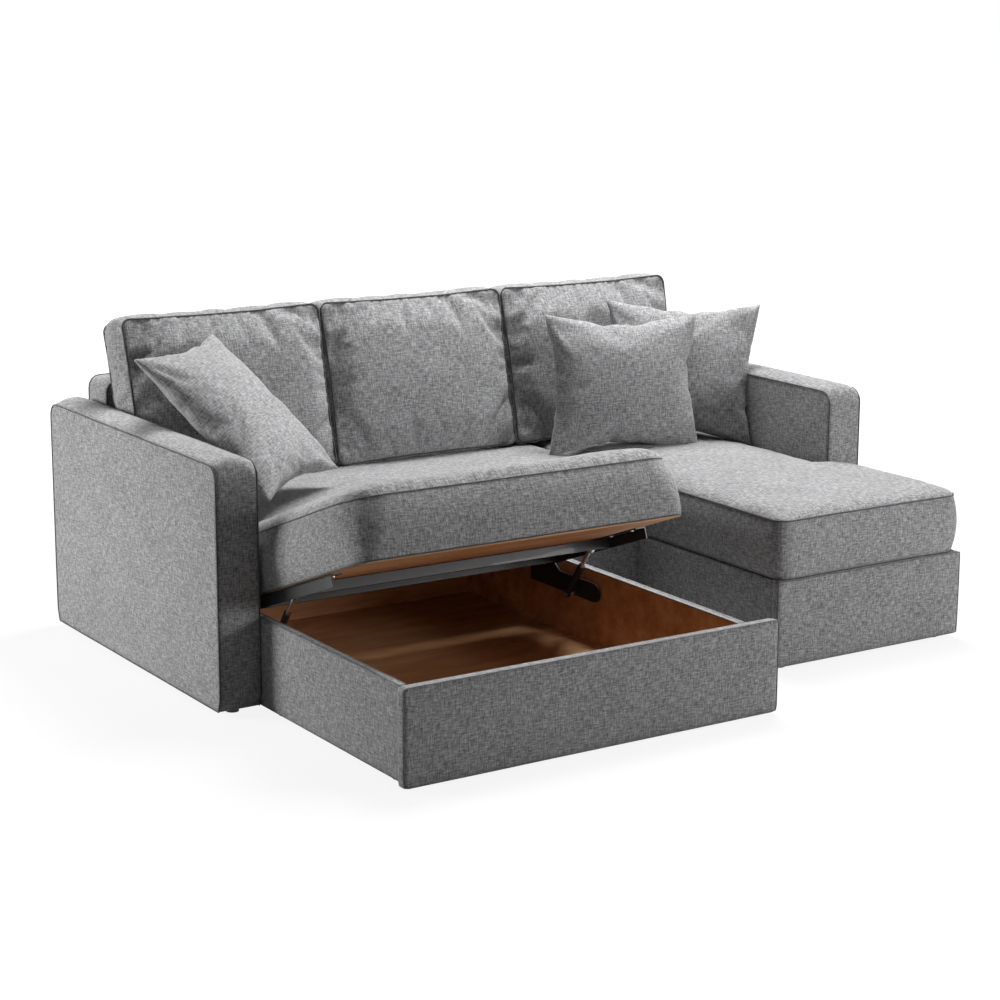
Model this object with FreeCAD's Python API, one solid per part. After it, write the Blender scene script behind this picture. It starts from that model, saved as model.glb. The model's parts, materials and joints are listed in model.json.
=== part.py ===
import FreeCAD
import Part
import math
import os

# Storage sofa with a lift-up seat over a pull-out box, and a fixed lounge on its right.
# X runs to the right, Y to the back, Z up from the floor. All lengths are in millimetres.
# The model stands as in use: the seat is lifted on its gas struts and the box is pulled out.

# Overall sizes
overall_width = 2008.0
body_depth = 992.0
box_reach = 683.0
lounge_reach = 421.0
lounge_width = 629.0
arm_height = 620.0
back_height = 690.0
base_top = 240.0
floor_gap = 15.0
spare = 200.0

# Upholstered walls
arm_width = 114.0
arm_crown = 17.0
arm_corner = 38.0
back_thickness = 122.0
padding = 24.0
base_panel = 22.0
cover_gap = 0.3
board_gap = 2.0

# Timber and plywood
frame_bar = 45.0
deck_ply = 12.0
ledger_size = 28.0
partition_thickness = 18.0

# Seat cushions
seat_cushion_height = 166.0
lounge_crown = 30.0
lift_crown = 24.0
rear_crown = 16.0
side_draw = 7.0
side_belly = 5.0
belly_press = 1.5
corner_round = 26.0
rear_seat_front = 176.0
cushion_gap = 4.0
lip_depth = 20.0

# Back cushions
back_cushion_height = 460.0
back_cushion_thickness = 155.0
back_cushion_reach = 352.0
back_cushion_foot = 22.0
back_cushion_rests = (12.8, 12.8, 15.0)
back_cushion_lean = 13.2
back_cushion_crown = 26.0
back_cushion_gap = 0.4

# Pull-out storage box
box_travel = 148.0
box_wall = 18.0
box_cloth = 3.0
box_front_thickness = 26.0
box_width = 960.0
box_side_clearance = 2.0
box_front_overhang_left = 8.0
box_front_overhang_right = 87.0
box_top = 238.0
box_side_bottom = 17.0
box_front_bottom = 8.0
box_depth = 1261.0
box_rear_top = 150.0
box_floor_bottom = 30.0
box_floor_ply = 12.0
box_cleat = 13.0
box_cleat_width = 34.0

# Lift seat
lift_angle = 20.5
pivot_y = 145.0
pivot_z = 222.0
lift_seat_front = -526.0
lift_seat_rear = 142.0
lift_seat_left = 125.0
lift_seat_width = 935.0
rear_bevel = 48.0
board_inset = 25.0

# Lift mechanism
plate_thickness = 4.0
plate_front = -97.0
plate_bottom = 157.0
plate_bar_height = 50.0
plate_crest = 15.5
plate_inset = 6.0
beam_depth = 40.0
beam_height = 30.0
beam_wall = 2.5
beam_front = 182.0
rail_thickness = 3.0
rail_height = 30.0
rail_flange = 30.0
rail_front = -330.0
rail_rear = 158.0
pin_radius = 5.0
pin_clearance = 0.08
washer_gap = 2.0
pin_end_play = 0.4
pin_head = 3.0
tube_size = 24.0
tube_wall = 2.0
tube_front_y = -165.0
tube_rear_y = 88.0
strut_low_y = 20.0
strut_low_z = 162.0
strut_top_y = -100.0
strut_radius = 9.0
strut_bore = 5.3
rod_radius = 5.0
strut_cylinder_length = 112.0
strut_rod_tail = 72.0
eye_radius = 12.0
eye_thickness = 8.0
strut_pin_radius = 4.0
strut_pin_head = 3.0
low_head_radius = 7.0
top_head_radius = 10.0
strut_slack = 3.6
strut_inset = 18.0

# Pillows: width and height; then the centre's distances from the nearer arm's outer face, from
# the back and above the seat's edge, with yaw, lean and roll
pillow_thickness = 124.0
pillow_edge = 9.0
pillow_draw = 20.0
pillow_margin = 6.0
left_pillow_size = (440.0, 500.0)
left_pillow_place = (303.0, 524.0, 235.0, 38.0, 47.0, 0.0)
front_pillow_size = (450.0, 404.0)
front_pillow_place = (-478.0, 516.0, 202.0, -20.0, 12.0, -1.0)
rear_pillow_size = (452.0, 410.0)
rear_pillow_place = (-256.0, 494.0, 216.0, -38.0, 14.0, -2.0)

# Small fittings
glide_radius = 16.0
screw_radius = 3.0
screw_head_radius = 5.5
screw_head_height = 2.5

# Datum planes that the sizes above are measured from
left = -overall_width / 2.0
right = overall_width / 2.0
total_depth = body_depth + box_reach
arm_front = -total_depth / 2.0 + box_reach
rear = arm_front + body_depth
left_inner = left + arm_width
right_inner = right - arm_width
back_front = rear - back_thickness
lounge_front = arm_front - lounge_reach
box_front = arm_front - box_reach

box_left = left_inner + box_side_clearance
box_right = box_left + box_width
partition_left = box_right + 3.0
lounge_left = right - lounge_width
seat_edge = base_top + seat_cushion_height
deck_bottom = base_top + 1.0
deck_top = deck_bottom + deck_ply
pivot = FreeCAD.Vector(0.0, arm_front + pivot_y, pivot_z)
axis_x = FreeCAD.Vector(1.0, 0.0, 0.0)
axis_y = FreeCAD.Vector(0.0, 1.0, 0.0)
axis_z = FreeCAD.Vector(0.0, 0.0, 1.0)

plate_left = box_left + box_wall + plate_inset
plate_right = box_right - box_wall - plate_inset
rail_left = plate_left + plate_thickness + washer_gap
rail_right = plate_right - plate_thickness - washer_gap
beam_top = deck_bottom
beam_bottom = beam_top - beam_height
beam_y = arm_front + beam_front
rail_top = base_top
strut_top_z = pivot_z


def box(x0, x1, y0, y1, z0, z1):
    corner = FreeCAD.Vector(x0, y0, z0)
    return Part.makeBox(x1 - x0, y1 - y0, z1 - z0, corner)


def rod_x(x0, x1, y, z, radius):
    return Part.makeCylinder(radius, x1 - x0, FreeCAD.Vector(x0, y, z), axis_x)


def rod_z(x, y, z0, z1, radius):
    return Part.makeCylinder(radius, z1 - z0, FreeCAD.Vector(x, y, z0), axis_z)


def group(shapes):
    return Part.makeCompound(shapes)


def line(a, b):
    return Part.LineSegment(a, b).toShape()


def arc(a, middle, b):
    return Part.Arc(a, middle, b).toShape()


def bowed_edges(points, bows):
    """Edges through the points in turn, each side bowed out by its own amount, inward if negative."""
    edges = []
    centre = FreeCAD.Vector(0, 0, 0)
    for point in points:
        centre = centre + point
    centre = centre * (1.0 / len(points))
    for index, start in enumerate(points):
        end = points[(index + 1) % len(points)]
        bow = bows[index]
        if abs(bow) < 0.01:
            edges.append(line(start, end))
            continue
        middle = (start + end) * 0.5
        along = (end - start).normalize()
        outward = middle - centre
        outward = (outward - along * outward.dot(along)).normalize()
        edges.append(arc(start, middle + outward * bow, end))
    return edges


def bowed_face(points, bows):
    return Part.Face(Part.Wire(bowed_edges(points, bows)))


def side_profile(y0, y1, z0, z1, x, crown, belly, lean=0.0):
    """Cushion outline seen from the side: flat foot, bellied borders and crowned top."""
    points = [
        FreeCAD.Vector(x, y0, z0),
        FreeCAD.Vector(x, y1, z0),
        FreeCAD.Vector(x, y1 - lean, z1 - crown),
        FreeCAD.Vector(x, y0, z1 - crown),
    ]
    return bowed_face(points, [0.0, belly, crown, belly])


def front_profile(x0, x1, z0, z1, y, crown, belly):
    """Cushion outline seen from the front: flat foot, bellied borders and crowned top."""
    points = [
        FreeCAD.Vector(x0, y, z0),
        FreeCAD.Vector(x1, y, z0),
        FreeCAD.Vector(x1, y, z1 - crown),
        FreeCAD.Vector(x0, y, z1 - crown),
    ]
    return bowed_face(points, [0.0, belly, crown, belly])


def rounded_plan(x0, x1, y0, y1, z, draw, radius):
    """Plan outline with rounded corners and sides drawn in between them."""
    low = radius * (1.0 - math.sqrt(0.5))
    xa = x0 + radius
    xb = x1 - radius
    ya = y0 + radius
    yb = y1 - radius
    xm = (x0 + x1) / 2.0
    ym = (y0 + y1) / 2.0

    def at(px, py):
        return FreeCAD.Vector(px, py, z)

    edges = [
        arc(at(xa, y0), at(xm, y0 + draw), at(xb, y0)),
        arc(at(xb, y0), at(x1 - low, y0 + low), at(x1, ya)),
        arc(at(x1, ya), at(x1 - draw, ym), at(x1, yb)),
        arc(at(x1, yb), at(x1 - low, y1 - low), at(xb, y1)),
        arc(at(xb, y1), at(xm, y1 - draw), at(xa, y1)),
        arc(at(xa, y1), at(x0 + low, y1 - low), at(x0, yb)),
        arc(at(x0, yb), at(x0 + draw, ym), at(x0, ya)),
        arc(at(x0, ya), at(x0 + low, y0 + low), at(xa, y0)),
    ]
    return Part.Face(Part.Wire(edges))


def box_cushion(x0, x1, y0, y1, z0, z1, crown, lean=0.0):
    """Border cushion: crowned top, bellied borders, sides drawn in between rounded corners."""
    inset = side_belly - belly_press
    side = side_profile(y0 + inset, y1 - inset, z0, z1, x0 - 1.0, crown, side_belly, lean)
    front = front_profile(x0 + inset, x1 - inset, z0, z1, y0 - 1.0, crown, side_belly)
    plan = rounded_plan(x0, x1, y0, y1, z0, side_draw, corner_round)
    body = side.extrude(FreeCAD.Vector(x1 - x0 + 2.0, 0, 0))
    body = body.common(front.extrude(FreeCAD.Vector(0, y1 - y0 + 2.0, 0)))
    return body.common(plan.extrude(FreeCAD.Vector(0, 0, z1 - z0)))


def arm(x0, x1):
    """Upholstered arm: crowned top, rounded front and rear top corners, open under the frame."""
    top = arm_height
    radius = arm_corner
    rise = radius * (1.0 - math.sqrt(0.5))

    def at(y, z):
        return FreeCAD.Vector(x0, y, z)

    high = top + arm_crown
    edges = [
        line(at(arm_front, floor_gap), at(arm_front, high - radius)),
        arc(at(arm_front, high - radius), at(arm_front + rise, high - rise), at(arm_front + radius, high)),
        line(at(arm_front + radius, high), at(rear - radius, high)),
        arc(at(rear - radius, high), at(rear - rise, high - rise), at(rear, high - radius)),
        line(at(rear, high - radius), at(rear, floor_gap)),
        line(at(rear, floor_gap), at(arm_front, floor_gap)),
    ]
    side = Part.Face(Part.Wire(edges)).extrude(FreeCAD.Vector(x1 - x0, 0, 0))
    front = front_profile(x0, x1, floor_gap, high, arm_front - 1.0, arm_crown, 0.0)
    solid = side.common(front.extrude(FreeCAD.Vector(0, body_depth + 2.0, 0)))
    cavity = box(x0 + padding, x1 - padding, arm_front + padding, rear - padding, floor_gap, top - padding)
    return solid.cut(cavity)


def ladder_frame(x0, x1, y0, y1, z0, z1, posts):
    """Timber frame of two rails and evenly spaced posts, cut from one outline."""
    frame = box(x0, x1, y0, y1, z0, z1)
    bay = (y1 - y0 - frame_bar * posts) / (posts - 1)
    for index in range(posts - 1):
        start = y0 + frame_bar + index * (bay + frame_bar)
        frame = frame.cut(box(x0 - 1.0, x1 + 1.0, start, start + bay, z0 + frame_bar, z1 - frame_bar))
    return frame


def arm_frame(x0, x1):
    inset = padding + cover_gap
    return ladder_frame(
        x0 + inset, x1 - inset, arm_front + inset, rear - inset, floor_gap, arm_height - inset, 3)


def back_shell():
    """Upholstered back between the arms, crowned along its top, open under its frame."""
    side = side_profile(back_front, rear, floor_gap, back_height, left_inner, 12.0, 0.0)
    solid = side.extrude(FreeCAD.Vector(right_inner - left_inner, 0, 0))
    cavity = box(
        left_inner + padding, right_inner - padding, back_front + padding, rear - padding,
        floor_gap, back_height - 12.0 - padding)
    return solid.cut(cavity)


def back_frame():
    """Timber back frame: top and bottom rails with posts between."""
    inset = padding + cover_gap
    x0 = left_inner + inset
    x1 = right_inner - inset
    y0 = back_front + inset
    y1 = rear - inset
    z1 = back_height - 12.0 - inset
    frame = box(x0, x1, y0, y1, floor_gap, z1)
    posts = 5
    bay = (x1 - x0 - frame_bar * posts) / (posts - 1)
    for index in range(posts - 1):
        start = x0 + frame_bar + index * (bay + frame_bar)
        window = box(start, start + bay, y0 - 1.0, y1 + 1.0, floor_gap + frame_bar, z1 - frame_bar)
        frame = frame.cut(window)
    return frame


def seat_deck():
    """Plywood deck behind the lift seat, carried by the steel beam, the partition and a ledger."""
    front = arm_front + rear_seat_front + lip_depth
    return box(
        left_inner + cover_gap, lounge_left - cover_gap, front, back_front - cover_gap, deck_bottom, deck_top)


def rear_seat_cushion():
    """Fixed seat cushion behind the lift seat, its cover wrapped down over the deck's front edge."""
    x0 = left_inner + cushion_gap
    x1 = lounge_left - cushion_gap
    y0 = arm_front + rear_seat_front
    y1 = back_front - cushion_gap
    solid = box_cushion(x0, x1, y0, y1, deck_bottom, seat_edge + rear_crown, rear_crown)
    pocket = box(x0 - 9.0, x1 + 9.0, y0 + lip_depth, y1 + 9.0, 0.0, deck_top + cover_gap)
    return solid.cut(pocket)


def lounge_cushion():
    """Lounge cushion: wide in front of the right arm, narrower beside it."""
    y0 = lounge_front
    y1 = back_front - cushion_gap
    solid = box_cushion(lounge_left, right, y0, y1, base_top, seat_edge + lounge_crown, lounge_crown)
    step = arm_front - cushion_gap
    beside_arm = box(right_inner - cushion_gap, right + 9.0, step, y1 + 9.0, 0.0, arm_height)
    return solid.cut(beside_arm)


def lounge_panels():
    front = box(lounge_left, right, lounge_front, lounge_front + base_panel, floor_gap, base_top)
    left_side = box(
        lounge_left, lounge_left + base_panel, lounge_front + base_panel, back_front - cover_gap,
        floor_gap, base_top)
    right_side = box(
        right - base_panel, right, lounge_front + base_panel, arm_front - cover_gap, floor_gap, base_top)
    return front, left_side, right_side


def lounge_deck():
    """Plywood deck let in between the lounge's panels."""
    z0 = base_top - deck_ply
    inner_left = lounge_left + base_panel + cover_gap
    inner_front = lounge_front + base_panel + cover_gap
    narrow = box(inner_left, right_inner - cover_gap, inner_front, back_front - cover_gap, z0, base_top)
    wide = box(
        inner_left, right - base_panel - cover_gap, inner_front, arm_front - cover_gap, z0, base_top)
    return narrow.fuse(wide).removeSplitter()


def ledgers():
    """Timber ledgers screwed inside the arms, panels and partition, that carry the two decks."""
    z1 = base_top - deck_ply
    z0 = z1 - ledger_size
    lounge_x = lounge_left + base_panel
    lounge_y = lounge_front + base_panel
    along_left = box(lounge_x, lounge_x + ledger_size, lounge_y, back_front - cover_gap, z0, z1)
    along_front = box(
        lounge_x + ledger_size, right - base_panel, lounge_y, lounge_y + ledger_size, z0, z1)
    along_arm = box(right_inner - ledger_size, right_inner, arm_front, back_front - cover_gap, z0, z1)
    rear_z0 = deck_bottom - ledger_size
    middle = box(
        partition_left + partition_thickness, lounge_left, back_front - ledger_size, back_front,
        rear_z0, deck_bottom)
    return group([along_left, along_front, along_arm, middle])


def middle_panel():
    """Fixed base front between the box and the lounge, under the rear seat cushion."""
    y0 = arm_front + rear_seat_front
    return box(partition_left, lounge_left - cover_gap, y0, y0 + partition_thickness, floor_gap, deck_bottom)


def partition():
    """Upright board beside the box that carries the deck's middle."""
    y0 = arm_front + rear_seat_front + partition_thickness
    return box(
        partition_left, partition_left + partition_thickness, y0, back_front, floor_gap, deck_bottom)


def seat_supports():
    """Room taken by the fixed seats, a hair above their covers, for the loose cushions to rest on."""
    under = box(left_inner, right, lounge_front, rear, 0.0, seat_edge)
    crack = box(
        lounge_left - 12.0, lounge_left + 12.0, arm_front + rear_seat_front, rear, 0.0, seat_edge + 3.0)
    up = FreeCAD.Vector(0.0, 0.0, cover_gap)
    return [under, crack, rear_seat_cushion().translated(up), lounge_cushion().translated(up)]


def pressed(solid, supports):
    """Take the room of each support out of a loose cushion."""
    for support in supports:
        solid = solid.cut(support)
    return solid


def back_cushion(x0, x1, rest):
    """Back cushion: crowned face, drawn-in edges, leaning on the back and flat where it rests."""
    y0 = rear - back_cushion_reach
    foot = seat_edge + back_cushion_foot
    lying = box_cushion(x0, x1, 0.0, back_cushion_height, 0.0, back_cushion_thickness, back_cushion_crown)
    lying.rotate(FreeCAD.Vector(0, 0, 0), axis_x, 90.0 - back_cushion_lean)
    thickness_shift = back_cushion_thickness * math.cos(math.radians(back_cushion_lean))
    drop = back_cushion_thickness * math.sin(math.radians(back_cushion_lean))
    lying.translate(FreeCAD.Vector(0.0, y0 + thickness_shift, foot - drop))
    below = box(x0 - spare, x1 + spare, y0 - spare, rear + spare, 0.0, seat_edge + rest)
    return lying.cut(below)


def pillow(size, place, supports):
    """Knife-edge throw pillow: lens-shaped both ways, its sides drawn in between four corners."""
    width, height = size
    x, y, z, yaw, lean, roll = place
    half = pillow_thickness / 2.0
    edge = pillow_edge / 2.0
    rise = half - edge
    reach_u = width / 2.0 + pillow_margin
    reach_v = height / 2.0 + pillow_margin

    def corner(u, v, w):
        return FreeCAD.Vector(u, v, w)

    plan = bowed_face(
        [corner(-width / 2, -height / 2, -half), corner(width / 2, -height / 2, -half),
         corner(width / 2, height / 2, -half), corner(-width / 2, height / 2, -half)],
        [-pillow_draw, -pillow_draw, -pillow_draw, -pillow_draw])
    across = bowed_face(
        [corner(-reach_u, -reach_v, -edge), corner(reach_u, -reach_v, -edge),
         corner(reach_u, -reach_v, edge), corner(-reach_u, -reach_v, edge)],
        [rise, 0.0, rise, 0.0])
    along = bowed_face(
        [corner(-reach_u, -reach_v, -edge), corner(-reach_u, reach_v, -edge),
         corner(-reach_u, reach_v, edge), corner(-reach_u, -reach_v, edge)],
        [rise, 0.0, rise, 0.0])
    solid = plan.extrude(FreeCAD.Vector(0, 0, 2.0 * half))
    solid = solid.common(across.extrude(FreeCAD.Vector(0, 2.0 * reach_v, 0)))
    solid = solid.common(along.extrude(FreeCAD.Vector(2.0 * reach_u, 0, 0)))
    origin = FreeCAD.Vector(0, 0, 0)
    solid.rotate(origin, axis_z, roll)
    solid.rotate(origin, axis_x, 90.0 - lean)
    solid.rotate(origin, axis_z, yaw)
    if x > 0:
        centre_x = left + x
    else:
        centre_x = right + x
    solid.translate(FreeCAD.Vector(centre_x, rear - y, seat_edge + z))
    clear = arm_height + arm_crown + 1.0
    left_arm_space = box(left - spare, left_inner + cover_gap, arm_front, rear, 0.0, clear)
    right_arm_space = box(right_inner - cover_gap, right + spare, arm_front, rear, 0.0, clear)
    return pressed(solid, supports + [left_arm_space, right_arm_space])


def box_walls():
    """Plywood walls of the pull-out box. The front reaches past both sides."""
    x0 = box_left
    x1 = box_right
    y0 = box_front + box_front_thickness
    y1 = box_front + box_depth
    wall_top = box_top - box_cloth
    front = box(
        x0 - box_front_overhang_left + box_cloth, x1 + box_front_overhang_right - box_cloth,
        box_front + box_cloth, y0, box_front_bottom, wall_top)
    left_wall = box(x0 + box_cloth, x0 + box_wall, y0, y1, box_side_bottom, wall_top)
    right_wall = box(x1 - box_wall, x1 - box_cloth, y0, y1, box_side_bottom, wall_top)
    rear_wall = box(x0 + box_wall, x1 - box_wall, y1 - box_wall, y1, box_floor_bottom, box_rear_top)
    return front, left_wall, right_wall, rear_wall


def box_covers():
    """Padded cloth covers, outside the walls and over their top edges."""
    x0 = box_left
    x1 = box_right
    y0 = box_front + box_front_thickness
    y1 = box_front + box_depth
    front, left_wall, right_wall, rear_wall = box_walls()
    front_outer = box(
        x0 - box_front_overhang_left, x1 + box_front_overhang_right, box_front, y0, box_front_bottom, box_top)
    left_outer = box(x0, x0 + box_wall, y0, y1, box_side_bottom, box_top)
    right_outer = box(x1 - box_wall, x1, y0, y1, box_side_bottom, box_top)
    return front_outer.cut(front), left_outer.cut(left_wall), right_outer.cut(right_wall)


def box_floor():
    y0 = box_front + box_front_thickness
    y1 = box_front + box_depth - box_wall
    return box(
        box_left + box_wall, box_right - box_wall, y0, y1, box_floor_bottom,
        box_floor_bottom + box_floor_ply)


def box_cleats():
    """Cleats under the box floor, glued along the side walls."""
    y0 = box_front + box_front_thickness
    y1 = box_front + box_depth
    z0 = box_floor_bottom - box_cleat
    left_cleat = box(
        box_left + box_wall, box_left + box_wall + box_cleat_width, y0, y1, z0, box_floor_bottom)
    right_cleat = box(
        box_right - box_wall - box_cleat_width, box_right - box_wall, y0, y1, z0, box_floor_bottom)
    return group([left_cleat, right_cleat])


def box_glides():
    """Low-friction glides under the box's cleats."""
    pieces = []
    inset = box_wall + box_cleat_width / 2.0
    for x in (box_left + inset, box_right - inset):
        for y in (box_front + 90.0, box_front + box_depth / 2.0, box_front + box_depth - 90.0):
            pieces.append(rod_z(x, y, 0.5, box_floor_bottom - box_cleat, glide_radius))
    return group(pieces)


def box_stops():
    """Stop blocks that meet the cross beam when the box is fully out."""
    y0 = beam_y + beam_depth + cover_gap
    left_stop = box(
        box_left + box_wall, box_left + box_wall + 30.0, y0, y0 + 30.0, beam_bottom, beam_top - 5.0)
    right_stop = box(
        box_right - box_wall - 30.0, box_right - box_wall, y0, y0 + 30.0, beam_bottom, beam_top - 5.0)
    return group([left_stop, right_stop])


def base_glides():
    """Glides under the arms, back and lounge."""
    pieces = []
    spots = []
    for x in (left + arm_width / 2.0, right - arm_width / 2.0):
        spots.append((x, arm_front + padding + frame_bar / 2.0))
        spots.append((x, rear - padding - frame_bar / 2.0))
    spots.append(((left_inner + right_inner) / 2.0, rear - back_thickness / 2.0))
    for x, y in spots:
        pieces.append(rod_z(x, y, 0.0, floor_gap, glide_radius))
    return group(pieces)


def lounge_feet():
    """Corner blocks under the lounge's ledgers, each with its glide."""
    pieces = []
    block = 50.0
    block_top = base_top - deck_ply - ledger_size
    inner_left = lounge_left + base_panel
    inner_front = lounge_front + base_panel
    corners = (
        (inner_left, inner_front),
        (right - base_panel - block, inner_front),
        (inner_left, back_front - block - cover_gap))
    for x0, y0 in corners:
        post = box(x0, x0 + block, y0, y0 + block, floor_gap, block_top)
        glide = rod_z(x0 + block / 2.0, y0 + block / 2.0, 0.0, floor_gap, glide_radius)
        pieces.append(post.fuse(glide))
    return group(pieces)


def cross_beam():
    """Steel box beam under the deck's front edge that holds the two hinge plates."""
    x0 = plate_left + plate_thickness
    x1 = plate_right - plate_thickness
    outer = box(x0, x1, beam_y, beam_y + beam_depth, beam_bottom, beam_top)
    inner = box(
        x0 - 1.0, x1 + 1.0, beam_y + beam_wall, beam_y + beam_depth - beam_wall,
        beam_bottom + beam_wall, beam_top - beam_wall)
    return outer.cut(inner)


def hinge_plate(x0):
    """Steel side plate: long bar along the box wall, raised at the seat pivot and at the beam."""
    y_front = arm_front + plate_front
    y_back = beam_y + beam_depth
    bar_top = plate_bottom + plate_bar_height
    nose = plate_bar_height / 2.0
    y_slope = pivot.y - 62.0
    y_crest = pivot.y - 16.0
    crest = pivot.z + plate_crest
    weld_top = beam_top - cover_gap

    def at(y, z):
        return FreeCAD.Vector(x0, y, z)

    edges = [
        line(at(y_front + nose, plate_bottom), at(y_back, plate_bottom)),
        line(at(y_back, plate_bottom), at(y_back, weld_top)),
        line(at(y_back, weld_top), at(beam_y, weld_top)),
        line(at(beam_y, weld_top), at(beam_y - 4.0, crest)),
        line(at(beam_y - 4.0, crest), at(y_crest, crest)),
        line(at(y_crest, crest), at(y_slope, bar_top)),
        line(at(y_slope, bar_top), at(y_front + nose, bar_top)),
        arc(at(y_front + nose, bar_top), at(y_front, plate_bottom + nose),
            at(y_front + nose, plate_bottom)),
    ]
    plate = Part.Face(Part.Wire(edges)).extrude(FreeCAD.Vector(plate_thickness, 0, 0))
    pivot_hole = rod_x(x0 - 1.0, x0 + plate_thickness + 1.0, pivot.y, pivot.z, pin_radius)
    return plate.cut(pivot_hole)


def pivot_pins():
    """Headed pins pressed in the plates, that the seat rails turn on."""
    grip = rail_left + rail_thickness - plate_left + pin_end_play
    pieces = []
    for outer, inward in ((plate_left, 1.0), (plate_right, -1.0)):
        start = FreeCAD.Vector(outer, pivot.y, pivot.z)
        direction = axis_x * inward
        shaft = Part.makeCylinder(pin_radius, grip, start, direction)
        head = Part.makeCylinder(pin_radius + 4.0, pin_head, start + direction * grip, direction)
        pieces.append(shaft.fuse(head))
    return group(pieces)


def strut_x(side):
    """Middle plane of the left (-1) or right (+1) gas strut."""
    if side < 0:
        return rail_left + strut_inset
    return rail_right - strut_inset


def headed_pin(x0, x1, y, z, inward, head_radius):
    """Pin from the plate or rail at x0 through a strut's eye, its head inside at x1."""
    low = min(x0, x1)
    high = max(x0, x1)
    shaft = rod_x(low, high, y, z, strut_pin_radius)
    if inward > 0:
        head = rod_x(high, high + strut_pin_head, y, z, head_radius)
    else:
        head = rod_x(low - strut_pin_head, low, y, z, head_radius)
    return shaft.fuse(head)


def strut_low_pins():
    """Pins on the hinge plates that the gas struts stand on."""
    y = arm_front + strut_low_y
    reach = eye_thickness / 2.0 + pin_end_play
    left_pin = headed_pin(plate_left + plate_thickness, strut_x(-1) + reach, y, strut_low_z, 1, low_head_radius)
    right_pin = headed_pin(plate_right - plate_thickness, strut_x(1) - reach, y, strut_low_z, -1, low_head_radius)
    return group([left_pin, right_pin])


def lifted(shape):
    """Turn a piece of the seat from its closed place to the lifted one, about the pivot."""
    turned = shape.copy()
    turned.rotate(pivot, axis_x, -lift_angle)
    return turned


def seat_rail(x0, flange_side):
    """Steel angle under the seat board, drilled for the pivot."""
    y0 = arm_front + rail_front
    y1 = arm_front + rail_rear
    leg = box(x0, x0 + rail_thickness, y0, y1, rail_top - rail_height, rail_top)
    if flange_side > 0:
        flange = box(x0, x0 + rail_flange, y0, y1 - 40.0, rail_top - rail_thickness, rail_top)
    else:
        flange = box(
            x0 + rail_thickness - rail_flange, x0 + rail_thickness, y0, y1 - 40.0,
            rail_top - rail_thickness, rail_top)
    hole = rod_x(x0 - 1.0, x0 + rail_thickness + 1.0, pivot.y, pivot.z, pin_radius + pin_clearance)
    return leg.fuse(flange).removeSplitter().cut(hole)


def seat_tube(y):
    """Square cross tube between the seat rails."""
    x0 = rail_left + rail_thickness
    x1 = rail_right - rail_thickness
    y0 = arm_front + y
    z1 = rail_top - rail_thickness
    z0 = z1 - tube_size
    outer = box(x0, x1, y0, y0 + tube_size, z0, z1)
    inner = box(
        x0 - 1.0, x1 + 1.0, y0 + tube_wall, y0 + tube_size - tube_wall, z0 + tube_wall, z1 - tube_wall)
    return outer.cut(inner)


def seat_board():
    x0 = left + lift_seat_left + board_inset
    x1 = left + lift_seat_left + lift_seat_width - board_inset
    y0 = arm_front + lift_seat_front + board_inset
    y1 = arm_front + lift_seat_rear - board_inset
    return box(x0, x1, y0, y1, base_top, base_top + deck_ply)


def lift_cushion():
    """Lift seat cushion: its rear face is cut back at the top so that it clears the fixed cushion."""
    x0 = left + lift_seat_left
    x1 = x0 + lift_seat_width
    y0 = arm_front + lift_seat_front
    y1 = arm_front + lift_seat_rear
    solid = box_cushion(
        x0, x1, y0, y1, base_top, seat_edge + lift_crown, lift_crown, rear_bevel)
    grow = cover_gap
    pocket = box(
        x0 + board_inset - grow, x1 - board_inset + grow, y0 + board_inset - grow,
        y1 - board_inset + grow, base_top - 1.0, base_top + deck_ply + grow)
    return solid.cut(pocket)


def seat_screws():
    """Screws that hold the rail flanges to the seat board, heads below."""
    pieces = []
    z1 = rail_top - rail_thickness
    for x in (rail_left + rail_flange - 9.0, rail_right - rail_flange + 9.0):
        for step in range(5):
            y = arm_front + rail_front + 30.0 + step * 92.0
            pieces.append(rod_z(x, y, z1 - screw_head_height, z1, screw_head_radius))
    return group(pieces)


def strut_top_pins():
    """Pins on the seat rails that the gas struts push against."""
    y = arm_front + strut_top_y
    reach = rod_radius + pin_end_play
    left_pin = headed_pin(rail_left + rail_thickness, strut_x(-1) + reach, y, strut_top_z, 1, top_head_radius)
    right_pin = headed_pin(rail_right - rail_thickness, strut_x(1) - reach, y, strut_top_z, -1, top_head_radius)
    return group([left_pin, right_pin])


def strut_line():
    """Lower end, upper end and unit direction of a strut with the seat lifted, at X zero."""
    low = FreeCAD.Vector(0.0, arm_front + strut_low_y, strut_low_z)
    offset = FreeCAD.Vector(0.0, arm_front + strut_top_y - pivot.y, strut_top_z - pivot.z)
    angle = math.radians(lift_angle)
    top = FreeCAD.Vector(
        0.0,
        pivot.y + offset.y * math.cos(angle) + offset.z * math.sin(angle),
        pivot.z - offset.y * math.sin(angle) + offset.z * math.cos(angle))
    direction = (top - low).normalize()
    return low, top, direction


def strut_cylinder(side):
    """Gas strut cylinder with its lower eye and the bore for the rod."""
    low, top, direction = strut_line()
    x = strut_x(side)
    base = FreeCAD.Vector(x, low.y, low.z)
    eye = rod_x(x - eye_thickness / 2.0, x + eye_thickness / 2.0, low.y, low.z, eye_radius - 2.0)
    start = base + direction * (eye_radius - 4.0)
    barrel = Part.makeCylinder(strut_radius, strut_cylinder_length - eye_radius + 4.0, start, direction)
    bore = Part.makeCylinder(strut_bore, strut_cylinder_length, base + direction * 22.0, direction)
    pin_hole = rod_x(x - 20.0, x + 20.0, low.y, low.z, strut_pin_radius + pin_clearance)
    return eye.fuse(barrel).removeSplitter().cut(bore).cut(pin_hole)


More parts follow.
